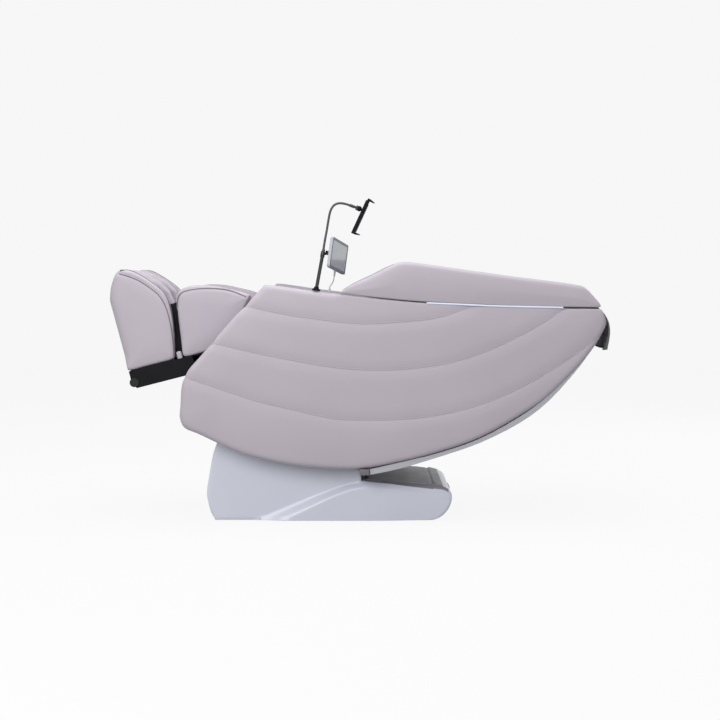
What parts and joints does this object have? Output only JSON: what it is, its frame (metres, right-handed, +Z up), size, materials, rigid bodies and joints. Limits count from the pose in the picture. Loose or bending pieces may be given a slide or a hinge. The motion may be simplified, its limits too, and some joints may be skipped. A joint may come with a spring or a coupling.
{
  "type": "massage chair",
  "caption": "Reclining massage chair with padded side panels, a moulded base, extending leg rest, and a stand with tablet and phone holder.",
  "frame": {"origin": "middle of the overall box, on the floor", "axes": "+X from the feet to the head, +Y to the sitter's right, +Z up"},
  "size_m": [1.8669, 0.78, 1.2028],
  "materials": {
    "leather": "fine-grained upholstery leather, satin",
    "dark_leather": "dark upholstery leather, matt",
    "shell_white": "moulded plastic, satin gloss",
    "trim_grey": "moulded plastic, satin",
    "black_plastic": "moulded plastic, fine texture",
    "frame_paint": "powder-coated steel",
    "steel": "bright steel",
    "pole_black": "black lacquered tube",
    "motor_black": "motor casing",
    "rubber": "moulded rubber",
    "cream_plastic": "smooth nylon",
    "light_strip": "lit diffuser",
    "board_green": "circuit board",
    "tablet_grey": "moulded case, satin",
    "screen_glass": "display glass",
    "cable_sheath": "soft cable sheath"
  },
  "bodies": {
    "base": {"base_frame": "frame_paint", "tilt_shaft": "steel", "base_feet": "rubber", "base_shell_left": "shell_white", "base_shell_right": "shell_white", "base_front_cover": "shell_white", "base_rear_cover": "shell_white", "rear_housing": "trim_grey", "power_supply": "steel", "control_board": "board_green", "air_pump": "motor_black", "power_inlet": "black_plastic"},
    "switch_rocker": {"power_switch": "black_plastic"},
    "rear_wheels": {"transport_wheels": "rubber"},
    "lift_motor": {"tilt_actuator_body": "motor_black"},
    "lift_rod": {"tilt_actuator_rod": "steel"},
    "tub": {"seat_frame": "frame_paint", "track_rails": "steel", "side_panel_left": "leather", "side_panel_right": "leather", "wing_left": "leather", "wing_right": "leather", "light_strips": "light_strip", "back_cover": "trim_grey", "seat_cushion": "leather", "back_cushion": "leather", "head_pillow": "leather", "head_flap": "dark_leather", "arm_well_left": "dark_leather", "arm_well_right": "dark_leather", "shoulder_pads": "leather", "leg_shaft": "steel", "leg_actuator_body": "motor_black", "stand_flange": "black_plastic", "stand_pole": "pole_black", "gooseneck": "steel", "cable_gland": "black_plastic", "tablet_cable": "cable_sheath"},
    "carriage": {"massage_carriage": "steel"},
    "knead": {"kneading_wheel_left": "cream_plastic", "kneading_wheel_right": "cream_plastic"},
    "leg_rod": {"leg_actuator_rod": "steel"},
    "leg_rest": {"calf_frame": "frame_paint", "calf_panel_left": "leather", "calf_panel_right": "leather", "calf_wells": "leather", "calf_cover": "black_plastic"},
    "foot_rest": {"foot_rails": "steel", "foot_panel_left": "leather", "foot_panel_right": "leather", "foot_wells": "leather", "foot_tray": "black_plastic"},
    "sole_massager": {"sole_roller": "cream_plastic"},
    "floor_wheels": {"floor_rollers": "rubber"},
    "tablet": {"tablet_case": "tablet_grey", "tablet_screen": "screen_glass"},
    "tablet_key": {"tablet_button": "black_plastic"},
    "clamp_ball": {"ball_head": "black_plastic"},
    "clamp": {"phone_clamp": "black_plastic"},
    "jaw": {"clamp_jaw": "black_plastic"}
  },
  "joints": [
    {"name": "recline", "type": "hinge", "parent": "base", "child": "tub", "pos_m": [-0.218, 0, 0.348], "axis": [0, -1, 0], "range_deg": [0, 31]},
    {"name": "lift_swing", "type": "hinge", "parent": "base", "child": "lift_motor", "pos_m": [-0.32, 0, 0.08], "axis": [0, -1, 0], "range_deg": [-0.5, 16.17]},
    {"name": "lift_stroke", "type": "slide", "parent": "lift_motor", "child": "lift_rod", "axis": [0.9019, 0, 0.432], "range_m": [-0.001, 0.0913]},
    {"name": "leg_raise", "type": "hinge", "parent": "tub", "child": "leg_rest", "pos_m": [-0.56, 0, 0.612], "axis": [0, -1, 0], "range_deg": [0, 42]},
    {"name": "leg_stroke", "type": "slide", "parent": "tub", "child": "leg_rod", "axis": [-0.9026, 0, 0.4304], "range_m": [-0.0348, 0.001]},
    {"name": "foot_extend", "type": "slide", "parent": "leg_rest", "child": "foot_rest", "axis": [-0.9686, 0, -0.2487], "range_m": [0, 0.07]},
    {"name": "sole_roll", "type": "hinge", "parent": "foot_rest", "child": "sole_massager", "pos_m": [-0.8456, 0, 0.67082], "axis": [0, 1, 0], "continuous": true},
    {"name": "floor_roll", "type": "hinge", "parent": "foot_rest", "child": "floor_wheels", "pos_m": [-0.84247, 0, 0.52192], "axis": [0, 1, 0], "continuous": true},
    {"name": "carriage_travel", "type": "slide", "parent": "tub", "child": "carriage", "axis": [0.9397, 0, 0.342], "range_m": [-0.18, 0.2]},
    {"name": "knead_turn", "type": "hinge", "parent": "carriage", "child": "knead", "pos_m": [0.39408, 0, 0.44212], "axis": [0, 1, 0], "continuous": true},
    {"name": "wheel_roll", "type": "hinge", "parent": "base", "child": "rear_wheels", "pos_m": [0.31, 0, 0.036], "axis": [0, 1, 0], "continuous": true},
    {"name": "switch_rock", "type": "hinge", "parent": "base", "child": "switch_rocker", "pos_m": [0.342, -0.008, 0.08], "axis": [0, 1, 0], "range_deg": [0, 12]},
    {"name": "tablet_tilt", "type": "hinge", "parent": "tub", "child": "tablet", "pos_m": [-0.10388, -0.32918, 1.00258], "axis": [0.284, 0.9461, -0.1558], "range_deg": [-12, 20]},
    {"name": "tablet_press", "type": "slide", "parent": "tablet", "child": "tablet_key", "axis": [-0.284, -0.9461, 0.1558], "range_m": [0, 0.0012], "stiffness_N_per_m": 1200},
    {"name": "clamp_nod", "type": "hinge", "parent": "tub", "child": "clamp_ball", "pos_m": [0.0002, -0.362, 1.1653], "axis": [0, 1, 0], "range_deg": [-20, 20]},
    {"name": "clamp_spin", "type": "hinge", "parent": "clamp_ball", "child": "clamp", "pos_m": [0.0002, -0.362, 1.1653], "axis": [0.9078, 0, -0.4195], "continuous": true},
    {"name": "jaw_open", "type": "slide", "parent": "clamp", "child": "jaw", "axis": [0.4195, 0, 0.9078], "range_m": [0, 0.022], "stiffness_N_per_m": 150, "springref_m": -0.01}
  ],
  "couplings": [
    {"joint": "lift_swing", "follows": "recline", "ratio": 0.50562},
    {"joint": "lift_stroke", "follows": "recline", "m_per_rad": 0.16693},
    {"joint": "leg_stroke", "follows": "leg_raise", "m_per_rad": -0.04605}
  ]
}
